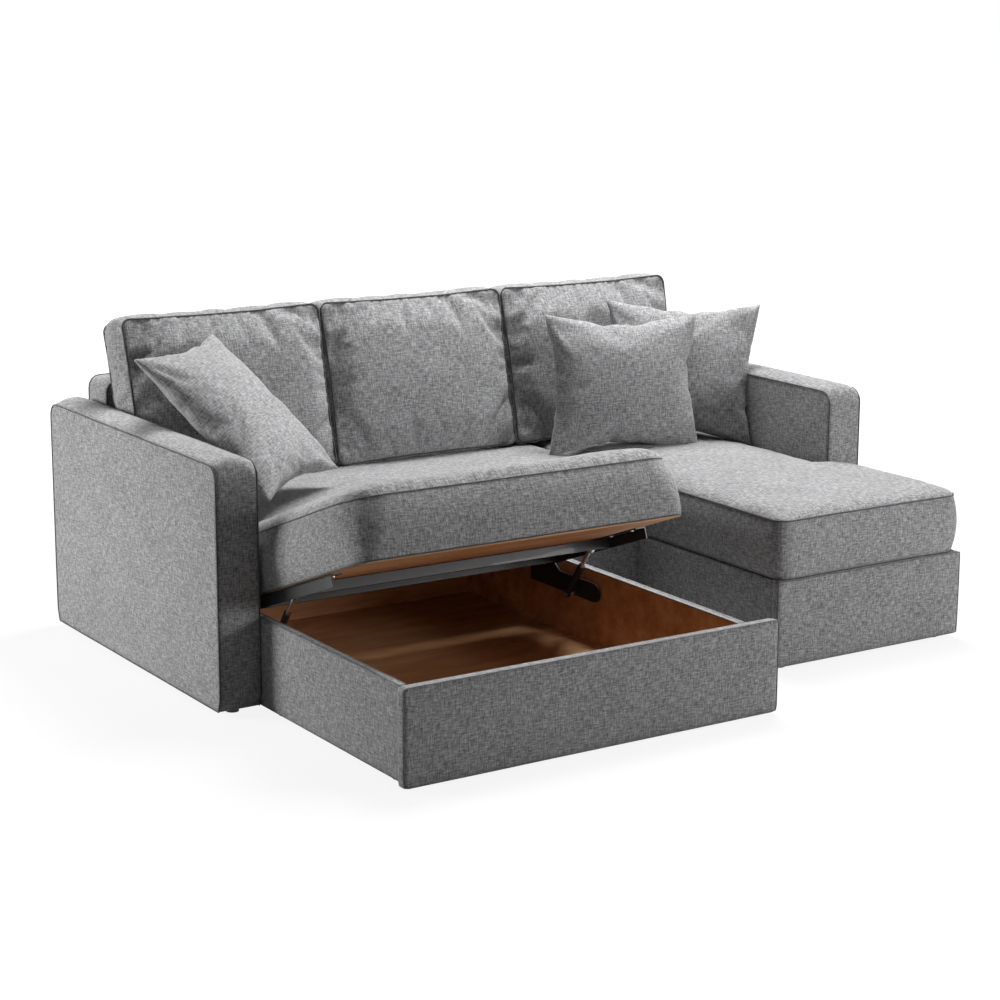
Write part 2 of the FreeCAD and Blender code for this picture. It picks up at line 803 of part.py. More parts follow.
def strut_rod(side):
    """Gas strut rod with its upper eye, which has play on its pin."""
    low, top, direction = strut_line()
    x = strut_x(side)
    head = FreeCAD.Vector(x, top.y, top.z)
    length = (top - low).Length
    rod_length = length - strut_rod_tail - eye_radius + 3.0
    start = FreeCAD.Vector(x, low.y, low.z) + direction * strut_rod_tail
    stem = Part.makeCylinder(rod_radius, rod_length, start, direction)
    eye = rod_x(x - eye_thickness / 2.0, x + eye_thickness / 2.0, head.y, head.z, eye_radius)
    hole = rod_x(x - 20.0, x + 20.0, head.y, head.z, strut_pin_radius + strut_slack)
    return stem.fuse(eye).removeSplitter().cut(hole)


def parts():
    """Every piece by name."""
    made = {}
    made["left_arm"] = arm(left, left_inner)
    made["right_arm"] = arm(right_inner, right)
    made["left_arm_frame"] = arm_frame(left, left_inner)
    made["right_arm_frame"] = arm_frame(right_inner, right)
    made["back_panel"] = back_shell()
    made["back_frame"] = back_frame()
    made["seat_deck"] = seat_deck()
    made["rear_seat_cushion"] = rear_seat_cushion()
    made["lounge_cushion"] = lounge_cushion()
    front, left_side, right_side = lounge_panels()
    made["lounge_front_panel"] = front
    made["lounge_left_panel"] = left_side
    made["lounge_right_panel"] = right_side
    made["lounge_deck"] = lounge_deck()
    made["deck_ledgers"] = ledgers()
    made["middle_front_panel"] = middle_panel()
    made["base_partition"] = partition()
    made["base_glides"] = base_glides()
    made["lounge_feet"] = lounge_feet()

    supports = seat_supports()
    room = right_inner - left_inner
    width = (room - 4.0 * back_cushion_gap) / 3.0
    forward = FreeCAD.Vector(0.0, -cover_gap, 0.0)
    leaned_on = []
    for index, name in enumerate(("left", "middle", "right")):
        x0 = left_inner + back_cushion_gap + index * (width + back_cushion_gap)
        cushion = back_cushion(x0, x0 + width, back_cushion_rests[index])
        made[name + "_back_cushion"] = cushion
        leaned_on.append(cushion.translated(forward))
    made["left_pillow"] = pillow(left_pillow_size, left_pillow_place, supports + leaned_on[:1])
    made["front_pillow"] = pillow(front_pillow_size, front_pillow_place, supports)
    made["rear_pillow"] = pillow(rear_pillow_size, rear_pillow_place, supports)

    front, left_wall, right_wall, rear_wall = box_walls()
    made["box_front_panel"] = front
    made["box_left_wall"] = left_wall
    made["box_right_wall"] = right_wall
    made["box_rear_wall"] = rear_wall
    front, left_cover, right_cover = box_covers()
    made["box_front_cover"] = front
    made["box_left_cover"] = left_cover
    made["box_right_cover"] = right_cover
    made["box_floor"] = box_floor()
    made["box_floor_cleats"] = box_cleats()
    made["box_glides"] = box_glides()
    made["box_stop_blocks"] = box_stops()

    made["mechanism_beam"] = cross_beam()
    made["left_hinge_plate"] = hinge_plate(plate_left)
    made["right_hinge_plate"] = hinge_plate(plate_right - plate_thickness)
    made["pivot_pins"] = pivot_pins()
    made["strut_lower_pins"] = strut_low_pins()

    made["lift_seat_cushion"] = lifted(lift_cushion())
    made["lift_seat_board"] = lifted(seat_board())
    made["left_seat_rail"] = lifted(seat_rail(rail_left, 1))
    made["right_seat_rail"] = lifted(seat_rail(rail_right - rail_thickness, -1))
    made["front_cross_tube"] = lifted(seat_tube(tube_front_y))
    made["rear_cross_tube"] = lifted(seat_tube(tube_rear_y))
    made["seat_screws"] = lifted(seat_screws())
    made["strut_upper_pins"] = lifted(strut_top_pins())

    made["left_strut_cylinder"] = strut_cylinder(-1)
    made["right_strut_cylinder"] = strut_cylinder(1)
    made["left_strut_rod"] = strut_rod(-1)
    made["right_strut_rod"] = strut_rod(1)
    return made


def write_parts():
    os.makedirs("parts", exist_ok=True)
    for name, shape in parts().items():
        shape.exportStep(os.path.join("parts", name + ".step"))
        print(name, len(shape.Solids), shape.isValid(), round(shape.Volume / 1e6, 3))
    low, top, direction = strut_line()
    print("strut low", low, "top", top, "direction", direction)
    print("pivot", pivot)


write_parts()
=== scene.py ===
import json
import math

import bpy
import numpy as np
from mathutils import Matrix, Vector


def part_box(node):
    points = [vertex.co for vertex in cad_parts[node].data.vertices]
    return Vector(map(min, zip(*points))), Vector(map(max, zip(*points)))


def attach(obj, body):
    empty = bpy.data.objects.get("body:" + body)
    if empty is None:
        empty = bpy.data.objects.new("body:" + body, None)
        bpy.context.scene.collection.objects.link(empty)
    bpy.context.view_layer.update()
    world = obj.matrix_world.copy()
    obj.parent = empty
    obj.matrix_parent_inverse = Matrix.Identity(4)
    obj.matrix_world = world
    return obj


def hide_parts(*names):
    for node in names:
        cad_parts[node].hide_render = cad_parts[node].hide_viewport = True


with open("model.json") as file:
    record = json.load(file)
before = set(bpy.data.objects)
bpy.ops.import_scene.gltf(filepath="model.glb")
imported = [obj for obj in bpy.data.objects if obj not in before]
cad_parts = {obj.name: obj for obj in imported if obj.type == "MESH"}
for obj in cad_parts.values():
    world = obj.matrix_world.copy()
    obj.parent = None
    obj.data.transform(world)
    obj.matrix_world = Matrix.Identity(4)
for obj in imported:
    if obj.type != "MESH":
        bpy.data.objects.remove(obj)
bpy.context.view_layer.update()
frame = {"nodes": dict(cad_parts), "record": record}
nodes = frame["nodes"]

# Where things are, in metres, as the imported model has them
LEFT, RIGHT = -1.004, 1.004
ARM_FRONT, REAR = -0.1545, 0.8375
ARM_WIDTH = 0.114
SEAT_EDGE = 0.406
PIVOT = Vector((0.0, -0.0095, 0.222))
LIFT = math.radians(20.5)
BACK_LEAN = math.radians(13.2)


# Noise and shapes

def lattice(ix, iy, iz, seed):
    h = (ix * 374761393 + iy * 668265263 + iz * 2147483647 + seed * 974634777) & 0xFFFFFFFF
    h = ((h ^ (h >> 13)) * 1274126177) & 0xFFFFFFFF
    h = h ^ (h >> 16)
    return (h & 0xFFFF) / 32767.5 - 1.0


def noise(p, seed=0):
    """Smooth value noise from -1 to 1 at points p (n, 3)."""
    p = np.asarray(p, float)
    cell = np.floor(p).astype(np.int64)
    f = p - cell
    f = f * f * (3.0 - 2.0 * f)
    out = np.zeros(len(p))
    for dx in (0, 1):
        wx = f[:, 0] if dx else 1.0 - f[:, 0]
        for dy in (0, 1):
            wy = f[:, 1] if dy else 1.0 - f[:, 1]
            for dz in (0, 1):
                wz = f[:, 2] if dz else 1.0 - f[:, 2]
                out += wx * wy * wz * lattice(cell[:, 0] + dx, cell[:, 1] + dy, cell[:, 2] + dz, seed)
    return out


def smoothstep(x, low, high):
    t = np.clip((x - low) / (high - low), 0.0, 1.0)
    return t * t * (3.0 - 2.0 * t)


def cube_grid(nx, ny, nz):
    """Points, quads and per-corner panel coordinates of a cube's surface from -1 to 1."""
    points, index, quads, flats = [], {}, [], []
    counts = (nx, ny, nz)

    def vertex(key):
        if key not in index:
            index[key] = len(points)
            points.append([2.0 * key[k] / counts[k] - 1.0 for k in range(3)])
        return index[key]

    for axis in range(3):
        a, b = [(1, 2), (2, 0), (0, 1)][axis]
        for side in (0, 1):
            for i in range(counts[a]):
                for j in range(counts[b]):
                    corners = []
                    for di, dj in ((0, 0), (1, 0), (1, 1), (0, 1)):
                        key = [0, 0, 0]
                        key[axis] = counts[axis] * side
                        key[a] = i + di
                        key[b] = j + dj
                        corners.append(tuple(key))
                    if side == 0:
                        corners.reverse()
                    quads.append([vertex(c) for c in corners])
                    flats.append((axis, a, b))
    return np.array(points), np.array(quads), flats


def square_to_disc(u, v):
    return u * np.sqrt(1.0 - 0.5 * v * v), v * np.sqrt(1.0 - 0.5 * u * u)


def rolled(gap, reach):
    """Quarter-round rise from a seam, 0 at the seam and 1 at reach from it."""
    left = 1.0 - np.clip(gap / reach, 0.0, 1.0)
    return np.sqrt(np.maximum(1.0 - left * left, 0.0))


def cushion_form(p, half, corner, crown, foot_crown, belly, draw, power=3.0, roll=(0.0, 0.05),
                 foot_corner=None):
    """Places cube points p in a cushion: rounded plan corners, crowned faces, bellied and drawn-in borders.

    roll is the rise of the rounded edge above the seam and how far in from the seam it reaches; foot_corner
    is the plan corner at the lower face, where it differs.
    """
    a, b, c = half
    s, t, r = p[:, 0], p[:, 1], p[:, 2]
    x, y = a * s, b * t
    if foot_corner is not None:
        corner = foot_corner + (corner - foot_corner) * (r + 1.0) / 2.0
    ex = np.clip((np.abs(x) - (a - corner)) / corner, 0.0, 1.0)
    ey = np.clip((np.abs(y) - (b - corner)) / corner, 0.0, 1.0)
    cx, cy = square_to_disc(ex, ey)
    x = np.where(ex > 0, np.sign(x) * (a - corner + corner * cx), x)
    y = np.where(ey > 0, np.sign(y) * (b - corner + corner * cy), y)
    edge_x, edge_y = np.abs(s) ** 8, np.abs(t) ** 8
    x = x - np.sign(s) * draw * edge_x * (1.0 - t * t)
    y = y - np.sign(t) * draw * edge_y * (1.0 - s * s)
    bulge = belly * (1.0 - r * r)
    x = x + np.sign(s) * bulge * edge_x * (1.0 - 0.25 * np.abs(t) ** 6)
    y = y + np.sign(t) * bulge * edge_y * (1.0 - 0.25 * np.abs(s) ** 6)
    dome = (1.0 - np.abs(s) ** power) * (1.0 - np.abs(t) ** power)
    rise = np.where(r > 0, crown, foot_crown) * dome * np.abs(r) ** 4
    edge = rolled(a * (1.0 - np.abs(s)), roll[1]) * rolled(b * (1.0 - np.abs(t)), roll[1])
    rise = rise + np.where(r > 0.999, roll[0] * edge, 0.0)
    z = c * r + np.sign(r) * rise
    return np.stack([x, y, z], 1)


def mesh_object(name, verts, quads, uvs=None):
    mesh = bpy.data.meshes.new(name)
    mesh.from_pydata(np.asarray(verts).tolist(), [], np.asarray(quads).tolist())
    if uvs is not None:
        layer = mesh.uv_layers.new(name="cloth")
        layer.data.foreach_set("uv", np.asarray(uvs, np.float32).ravel())
    mesh.polygons.foreach_set("use_smooth", [True] * len(mesh.polygons))
    mesh.validate()
    piece = bpy.data.objects.new(name, mesh)
    bpy.context.collection.objects.link(piece)
    return piece


def vertex_normals(verts, quads):
    q = verts[quads]
    n = np.cross(q[:, 2] - q[:, 0], q[:, 3] - q[:, 1])
    out = np.zeros_like(verts)
    for k in range(4):
        np.add.at(out, quads[:, k], n)
    return out / np.maximum(np.linalg.norm(out, axis=1, keepdims=True), 1e-12)


def tube(loop, radius, sides=8, closed=True):
    """A round welt along a loop of points: vertices, quads and panel coordinates."""
    loop = np.asarray(loop, float)
    count = len(loop)
    ahead = np.roll(loop, -1, 0)
    behind = np.roll(loop, 1, 0)
    if not closed:
        ahead[-1] = loop[-1]
        behind[0] = loop[0]
    tangent = ahead - behind
    tangent /= np.maximum(np.linalg.norm(tangent, axis=1, keepdims=True), 1e-12)
    up = np.array([0.0, 0.0, 1.0]) if abs(tangent[:, 2]).mean() < 0.5 else np.array([1.0, 0.0, 0.0])
    reference = np.cross(tangent[0], up)
    reference /= max(np.linalg.norm(reference), 1e-12)
    frames = []
    for i in range(count):
        reference = reference - tangent[i] * reference.dot(tangent[i])
        reference /= max(np.linalg.norm(reference), 1e-12)
        frames.append((reference.copy(), np.cross(tangent[i], reference)))
    verts, quads, uvs = [], [], []
    along = np.concatenate([[0.0], np.cumsum(np.linalg.norm(np.diff(loop, axis=0), axis=1))])
    for i in range(count):
        for k in range(sides):
            angle = 2.0 * math.pi * k / sides
            around = math.cos(angle) * frames[i][0] + math.sin(angle) * frames[i][1]
            verts.append(loop[i] + radius * around)
    last = count if closed else count - 1
    for i in range(last):
        j = (i + 1) % count
        reach = along[i] + (np.linalg.norm(loop[j] - loop[i]))
        for k in range(sides):
            m = (k + 1) % sides
            quads.append([i * sides + k, i * sides + m, j * sides + m, j * sides + k])
            step = 2.0 * math.pi * radius / sides
            uvs.extend([(along[i], k * step), (along[i], (k + 1) * step),
                        (reach, (k + 1) * step), (reach, k * step)])
    if not closed:
        for end in (0, count - 1):
            ring = [end * sides + k for k in range(sides)]
            centre = len(verts)
            verts.append(loop[end])
            for k in range(sides):
                m = (k + 1) % sides
                first, second = (ring[k], ring[m]) if end else (ring[m], ring[k])
                quads.append([first, second, centre, centre])
                uvs.extend([(0.0, 0.0)] * 4)
    return np.array(verts), quads, uvs


def welt_object(name, loops, radius, material, body, closed=True):
    verts, faces, uvs = [], [], []
    for loop in loops:
        v, q, uv = tube(loop, radius, closed=closed)
        shift = sum(len(part) for part in verts)
        verts.append(v)
        for face, corner in zip(q, range(0, len(uv), 4)):
            face = [i + shift for i in face]
            if face[2] == face[3]:
                faces.append(face[:3])
                uvs.extend(uv[corner:corner + 3])
            else:
                faces.append(face)
                uvs.extend(uv[corner:corner + 4])
    mesh = bpy.data.meshes.new(name)
    mesh.from_pydata(np.concatenate(verts).tolist(), [], faces)
    layer = mesh.uv_layers.new(name="cloth")
    layer.data.foreach_set("uv", np.asarray(uvs, np.float32).ravel())
    mesh.polygons.foreach_set("use_smooth", [True] * len(mesh.polygons))
    mesh.materials.append(material)
    piece = bpy.data.objects.new(name, mesh)
    bpy.context.collection.objects.link(piece)
    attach(piece, body)
    return piece


# Materials

def node_material(name):
    material = bpy.data.materials.new(name)
    material.use_nodes = True
    tree = material.node_tree
    return material, tree, tree.nodes["Principled BSDF"]


def add(tree, kind, **values):
    node = tree.nodes.new(kind)
    for key, value in values.items():
        setattr(node, key, value)
    return node


def scaled(tree, coords, scale):
    mapping = add(tree, "ShaderNodeMapping")
    tree.links.new(coords, mapping.inputs["Vector"])
    mapping.inputs["Scale"].default_value = scale
    return mapping.outputs["Vector"]


def speckle(tree, coords, scale, detail=2.0, rough=0.6):
    texture = add(tree, "ShaderNodeTexNoise")
    texture.inputs["Scale"].default_value = 1.0
    texture.inputs["Detail"].default_value = detail
    texture.inputs["Roughness"].default_value = rough
    tree.links.new(scaled(tree, coords, scale), texture.inputs["Vector"])
    return texture.outputs["Fac"]


def maths(tree, operation, a, b):
    node = add(tree, "ShaderNodeMath", operation=operation)
    for socket, value in zip(node.inputs, (a, b)):
        if isinstance(value, (int, float)):
            socket.default_value = value
        else:
            tree.links.new(value, socket)
    return node.outputs[0]


def ramp(tree, factor, stops):
    node = add(tree, "ShaderNodeValToRGB")
    elements = node.color_ramp.elements
    while len(elements) < len(stops):
        elements.new(0.5)
    for element, (position, colour) in zip(elements, stops):
        element.position = position
        element.color = (*colour, 1.0)
    tree.links.new(factor, node.inputs["Fac"])
    return node.outputs["Color"]


def bump(tree, height, strength, distance):
    node = add(tree, "ShaderNodeBump")
    node.inputs["Strength"].default_value = strength
    node.inputs["Distance"].default_value = distance
    tree.links.new(height, node.inputs["Height"])
    return node.outputs["Normal"]


def grey(value, tint=(1.0, 1.0, 1.0)):
    return tuple(value * k for k in tint)


def cloth_material(name, dark, mid, light, tint):
    """Melange linen-look weave: long slubs both ways, single dark and light threads, fine plain weave."""
    material, tree, shader = node_material(name)
    uv = add(tree, "ShaderNodeUVMap", uv_map="cloth").outputs["UV"]
    warp = speckle(tree, uv, (70.0, 380.0, 1.0), 2.0, 0.6)
    weft = speckle(tree, uv, (380.0, 70.0, 1.0), 2.0, 0.6)
    slub_warp = speckle(tree, uv, (42.0, 260.0, 1.0), 1.0)
    slub_weft = speckle(tree, uv, (260.0, 42.0, 1.0), 1.0)
    patch = speckle(tree, uv, (9.0, 9.0, 1.0), 2.0)
    threads = maths(tree, "ADD", warp, weft)
    slubs = maths(tree, "ADD", slub_warp, slub_weft)
    mixed = maths(tree, "ADD", maths(tree, "MULTIPLY", threads, 0.24), maths(tree, "MULTIPLY", slubs, 0.23))
    tone = maths(tree, "ADD", mixed, maths(tree, "MULTIPLY", patch, 0.06))
    colour = ramp(tree, tone, [
        (0.40, grey(dark, tint)), (0.50, grey(mid, tint)), (0.60, grey(light, tint))])
    tree.links.new(colour, shader.inputs["Base Color"])
    shader.inputs["Roughness"].default_value = 0.92
    shader.inputs["Specular IOR Level"].default_value = 0.25
    shader.inputs["Sheen Weight"].default_value = 0.25
    shader.inputs["Sheen Roughness"].default_value = 0.5
    yarn_a = add(tree, "ShaderNodeTexWave", wave_type="BANDS", bands_direction="X")
    yarn_b = add(tree, "ShaderNodeTexWave", wave_type="BANDS", bands_direction="Y")
    for yarn in (yarn_a, yarn_b):
        yarn.inputs["Scale"].default_value = 190.0
        yarn.inputs["Distortion"].default_value = 1.2
        yarn.inputs["Detail"].default_value = 1.0
        yarn.inputs["Detail Scale"].default_value = 2.0
        tree.links.new(uv, yarn.inputs["Vector"])
    weave = maths(tree, "MULTIPLY", yarn_a.outputs["Fac"], yarn_b.outputs["Fac"])
    height = maths(tree, "ADD", maths(tree, "MULTIPLY", weave, 0.5), maths(tree, "MULTIPLY", threads, 0.9))
    tree.links.new(bump(tree, height, 0.55, 0.0009), shader.inputs["Normal"])
    return material


def wood_material(name, dark, mid, light, grain, across):
    """Rotary-cut veneer or sawn timber: long grain lines, broad figure and small flecks."""
    material, tree, shader = node_material(name)
    coords = add(tree, "ShaderNodeTexCoord").outputs["Object"]
    figure = speckle(tree, coords, grain, 4.0, 0.6)
    lines = speckle(tree, coords, across, 3.0, 0.7)
    fleck = speckle(tree, coords, tuple(k * 4.0 for k in grain), 2.0)
    tone = maths(tree, "ADD", maths(tree, "MULTIPLY", figure, 0.55), maths(tree, "MULTIPLY", lines, 0.30))
    tone = maths(tree, "ADD", tone, maths(tree, "MULTIPLY", fleck, 0.15))
    tree.links.new(ramp(tree, tone, [(0.36, dark), (0.5, mid), (0.64, light)]), shader.inputs["Base Color"])
    shader.inputs["Roughness"].default_value = 0.55
    shader.inputs["Specular IOR Level"].default_value = 0.35
    tree.links.new(bump(tree, lines, 0.15, 0.0006), shader.inputs["Normal"])
    return material


def metal_material(name, base, metallic, roughness, coat=0.0, spread=0.12):
    material, tree, shader = node_material(name)
    coords = add(tree, "ShaderNodeTexCoord").outputs["Object"]
    mottle = speckle(tree, coords, (60.0, 60.0, 60.0), 4.0)
    grain = speckle(tree, coords, (900.0, 900.0, 900.0), 1.0)
    low = tuple(k * (1.0 - spread) for k in base)
    high = tuple(k * (1.0 + spread) for k in base)
    tree.links.new(ramp(tree, mottle, [(0.35, low), (0.65, high)]), shader.inputs["Base Color"])
    shader.inputs["Metallic"].default_value = metallic
    rough = maths(tree, "ADD", maths(tree, "MULTIPLY", mottle, 0.2), roughness - 0.1)
    tree.links.new(rough, shader.inputs["Roughness"])
    shader.inputs["Coat Weight"].default_value = coat
    tree.links.new(bump(tree, grain, 0.12, 0.0002), shader.inputs["Normal"])
    return material


COOL = (1.0, 1.0, 1.015)
cloth = cloth_material("melange_cloth", 0.11, 0.25, 0.45, COOL)
pillow_cloth = cloth_material("pillow_cloth", 0.12, 0.27, 0.47, COOL)
panel_cloth = cloth_material("panel_cloth", 0.10, 0.23, 0.42, COOL)
# Dark welt cloth: the same melange made darker, painted shade of the seam lines along the piping.
welt_cloth_painted_shade = cloth_material("welt_cloth_painted_shade", 0.035, 0.07, 0.12, COOL)
# Dim welt cloth: the same melange made a little darker, painted shade of the seams on the boards and box
# covers.
dim_welt_painted_shade = cloth_material("dim_welt_painted_shade", 0.07, 0.14, 0.24, COOL)
# Pale welt cloth: the same melange made lighter, a painted highlight where light catches the top edge of the
# box's right wall.
pale_welt_painted_highlight = cloth_material("pale_welt_painted_highlight", 0.26, 0.44, 0.62, COOL)
plywood = wood_material(
    "plywood", (0.40, 0.20, 0.085), (0.55, 0.29, 0.135), (0.68, 0.40, 0.21),
    (1.6, 9.0, 9.0), (6.0, 160.0, 160.0))
timber = wood_material(
    "frame_timber", (0.38, 0.25, 0.13), (0.52, 0.36, 0.20), (0.64, 0.47, 0.29),
    (7.0, 7.0, 1.4), (140.0, 140.0, 5.0))
black_steel = metal_material("black_steel", (0.008, 0.008, 0.009), 0.0, 0.5, 0.08, 0.3)
zinc = metal_material("zinc_steel", (0.62, 0.62, 0.64), 1.0, 0.36)
chrome = metal_material("chrome_rod", (0.78, 0.78, 0.80), 1.0, 0.16, 0.0, 0.03)
plastic = metal_material("glide_plastic", (0.03, 0.03, 0.03), 0.0, 0.55, 0.0, 0.2)


# Cushions

def soft_piece(name, body, centre, half, turn=None, corner=0.03, crown=0.02, foot=0.0, belly=0.006,
               draw=0.007, power=3.0, cell=0.012, puckers=0.0, pucker_sides=(1.0, 1.0, 1.0, 1.0),
               wrinkle=0.0, seed=1, welts=(1, -1), welt_radius=0.0026, material=None, shape=None,
               welt_material=None, cloth_run=None, roll=(0.0, 0.05), foot_corner=None):
    """A stuffed or padded piece with welted seams round its two faces, in place and riding on its body.

    turn maps the piece's own axes to the room, centre is its middle. puckers is the depth of the gathers
    beside the seams, pucker_sides their share at the -x, +x, -y and +y sides, wrinkle that of broad waves.
    cloth_run and shape each take the placed points and give them back moved.
    """
    a, b, c = half
    counts = [max(4, int(round(2.0 * h / cell))) for h in (a, b, c)]
    points, quads, flats = cube_grid(*counts)
    verts = cushion_form(points, half, corner, crown, foot, belly, draw, power, roll, foot_corner)
    size = np.array(half)
    flat_points = points * size
    uvs = np.empty((len(quads) * 4, 2))
    for i, (axis, u_axis, v_axis) in enumerate(flats):
        corners = flat_points[quads[i]]
        shift = (0.37 * axis + 0.11 * seed, 0.53 * axis + 0.07 * seed)
        horizontal, vertical = (u_axis, v_axis) if axis != 1 else (v_axis, u_axis)
        uvs[4 * i:4 * i + 4, 0] = corners[:, horizontal] + shift[0]
        uvs[4 * i:4 * i + 4, 1] = corners[:, vertical] + shift[1]
    s, t, r = points[:, 0], points[:, 1], points[:, 2]
    if cloth_run is not None:
        verts = cloth_run(points, verts, quads)
    if shape is not None:
        verts = shape(points, verts)
    normal = vertex_normals(verts, quads)
    if puckers:
        on_face = np.abs(r) > 0.999
        gap_x, gap_y = a * (1.0 - np.abs(s)), b * (1.0 - np.abs(t))
        gather = np.zeros(len(points))
        for gap, run, side_low, side_high, sign in (
                (gap_x, b * t, pucker_sides[0], pucker_sides[1], s),
                (gap_y, a * s, pucker_sides[2], pucker_sides[3], t)):
            share = np.where(sign < 0, side_low, side_high)
            wave = noise(np.stack([run / 0.021, gap / 0.10, np.full(len(run), seed * 3.1)], 1), seed)
            longer = np.stack([run / 0.047, gap / 0.16, np.full(len(run), seed * 1.7)], 1)
            wave += 0.5 * noise(longer, seed + 5)
            fade = np.exp(-gap / 0.030) * (1.0 - np.exp(-gap / 0.006))
            gather += share * wave * fade
        border = 1.0 - np.abs(r)
        rim = c * border
        run = np.where(np.abs(s) > np.abs(t), b * t, a * s)
        wave = noise(np.stack([run / 0.024, rim / 0.08, np.full(len(run), seed * 2.3)], 1), seed + 9)
        on_border = wave * np.exp(-rim / 0.022) * (1.0 - np.exp(-rim / 0.006)) * 0.7
        verts = verts + normal * (puckers * np.where(on_face, gather, on_border))[:, None]
    if wrinkle:
        waves = noise(flat_points / 0.16 + seed, seed + 11)
        waves += 0.45 * noise(flat_points / 0.065 + seed, seed + 13)
        calm = np.minimum(np.abs(1.0 - np.abs(s)) * a, np.abs(1.0 - np.abs(t)) * b)
        verts = verts + normal * (wrinkle * waves * (0.25 + smoothstep(calm, 0.0, 0.05)))[:, None]
    matrix = np.eye(3) if turn is None else np.array(turn.to_3x3())
    placed = verts @ matrix.T + np.array(centre)
    piece = mesh_object(name, placed, quads, uvs)
    piece.data.materials.append(material or cloth)
    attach(piece, body)

    loops = []
    for level in welts:
        ring = [i for i in range(len(points))
                if abs(r[i] - level) < 1e-6 and (abs(s[i]) > 0.9999 or abs(t[i]) > 0.9999)]
        angle = np.arctan2(t[ring], s[ring])
        order = np.argsort(angle)
        loops.append(placed[np.array(ring)[order]])
    if loops:
        # Welts default to the dark welt cloth, painted seam shade.
        welt_object(name + "_welt", loops, welt_radius, welt_material or welt_cloth_painted_shade, body)
    return piece


def blown(points, quads, pinned, pressure, growth, frames, cap, stiffness=12.0):
    """Lets the cover fill out as cloth under pressure; pinned points stay, none moves further than cap."""
    piece = mesh_object("cloth_work", points, quads)
    group = piece.vertex_groups.new(name="pin")
    for weight in (0.25, 0.5, 0.75, 1.0):
        chosen = np.nonzero(np.abs(pinned - weight) < 0.125)[0].tolist()
        group.add(chosen, weight, "REPLACE")
    cloth_step = piece.modifiers.new("cloth", "CLOTH")
    settings = cloth_step.settings
    settings.quality = 6
    settings.mass = 0.25
    settings.tension_stiffness = stiffness
    settings.compression_stiffness = stiffness
    settings.shear_stiffness = stiffness * 0.6
    settings.bending_stiffness = 0.35
    settings.use_pressure = True
    settings.uniform_pressure_force = pressure
    settings.shrink_min = -growth
    settings.vertex_group_mass = "pin"
    settings.pin_stiffness = 1.0
    settings.effector_weights.gravity = 0.0
    cloth_step.collision_settings.use_collision = False
    cloth_step.collision_settings.use_self_collision = False
    cloth_step.point_cache.frame_start = 1
    cloth_step.point_cache.frame_end = frames
    for number in range(1, frames + 1):
        bpy.context.scene.frame_set(number)
    graph = bpy.context.evaluated_depsgraph_get()
    result = piece.evaluated_get(graph).to_mesh()
    moved = np.empty(len(points) * 3)
    result.vertices.foreach_get("co", moved)
    moved = moved.reshape(-1, 3)
    bpy.data.objects.remove(piece, do_unlink=True)
    bpy.context.scene.frame_set(1)
    step = moved - points
    length = np.linalg.norm(step, axis=1, keepdims=True)
    return points + step * np.minimum(1.0, cap / np.maximum(length, 1e-9))


def axes(x_axis, y_axis, z_axis):
    """Rotation whose columns are the piece's own axes."""
    return Matrix((x_axis, y_axis, z_axis)).transposed()


def middle(low, high):
    return [(p + q) / 2.0 for p, q in zip(low, high)]


X, Y, Z = Vector((1, 0, 0)), Vector((0, 1, 0)), Vector((0, 0, 1))
SIDEWAYS = axes(Y, Z, X)
UPRIGHT = axes(X, Z, -Y)


def seat_piece(name, node, body, low, high, crown, **extra):
    """A flat-lying border cushion between two corners, the crown above its edge height."""
    half = [(q - p) / 2.0 for p, q in zip(low, high)]
    piece = soft_piece(name, body, middle(low, high), half, crown=crown, **extra)
    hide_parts(node)
    return piece


# Arms: side panels with a crowned strip between them, welted along both edges
def arm_shape(strip_rise):
    def shape(points, verts):
        out = verts.copy()
        across = points[:, 2]
        top = smoothstep(points[:, 1], 0.80, 1.0) * (np.abs(points[:, 1]) > 0.999)
        out[:, 1] += strip_rise * (1.0 - across ** 2) * top
        low = points[:, 1] < -0.999
        out[low, 1] = np.minimum(out[low, 1], -0.3025)
        return out
    return shape


for side, x in (("left", LEFT), ("right", RIGHT - ARM_WIDTH)):
    low = (x, ARM_FRONT, 0.015)
    high = (x + ARM_WIDTH, REAR, 0.620)
    half = [(q - p) / 2.0 for p, q in zip(low, high)]
    outward = 1 if side == "right" else -1
    arm = soft_piece(
        side + "_arm_cover", "root", middle(low, high), (half[1], half[2], half[0] - 0.002), SIDEWAYS,
        corner=0.036, crown=0.003, foot=0.003, belly=0.0015, draw=0.0, power=6.0, cell=0.013,
        puckers=0.0009, wrinkle=0.0012, seed=21 + outward, shape=arm_shape(0.015), roll=(0.003, 0.03),
        welt_radius=0.0021)
    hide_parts(side + "_arm")

# Back between the arms
low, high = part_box("back_panel")
half = [(q - p) / 2.0 for p, q in zip(low, high)]
back = soft_piece(
    "back_cover", "root", middle(low, high), (half[0], half[2] - 0.006, half[1] - 0.003), UPRIGHT,
    corner=0.03, crown=0.003, foot=0.003, belly=0.006, draw=0.0, power=6.0, cell=0.016,
    puckers=0.0015, wrinkle=0.0015, seed=31)
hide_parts("back_panel")

# Fixed seat behind the lifting one
seat_piece(
    "rear_seat_cover", "rear_seat_cushion", "root",
    (LEFT + 0.118, ARM_FRONT + 0.178, 0.243), (0.370, 0.711, SEAT_EDGE),
    0.006, corner=0.03, belly=0.005, draw=0.003, cell=0.014, puckers=0.002, wrinkle=0.002, seed=41,
    roll=(0.010, 0.05))

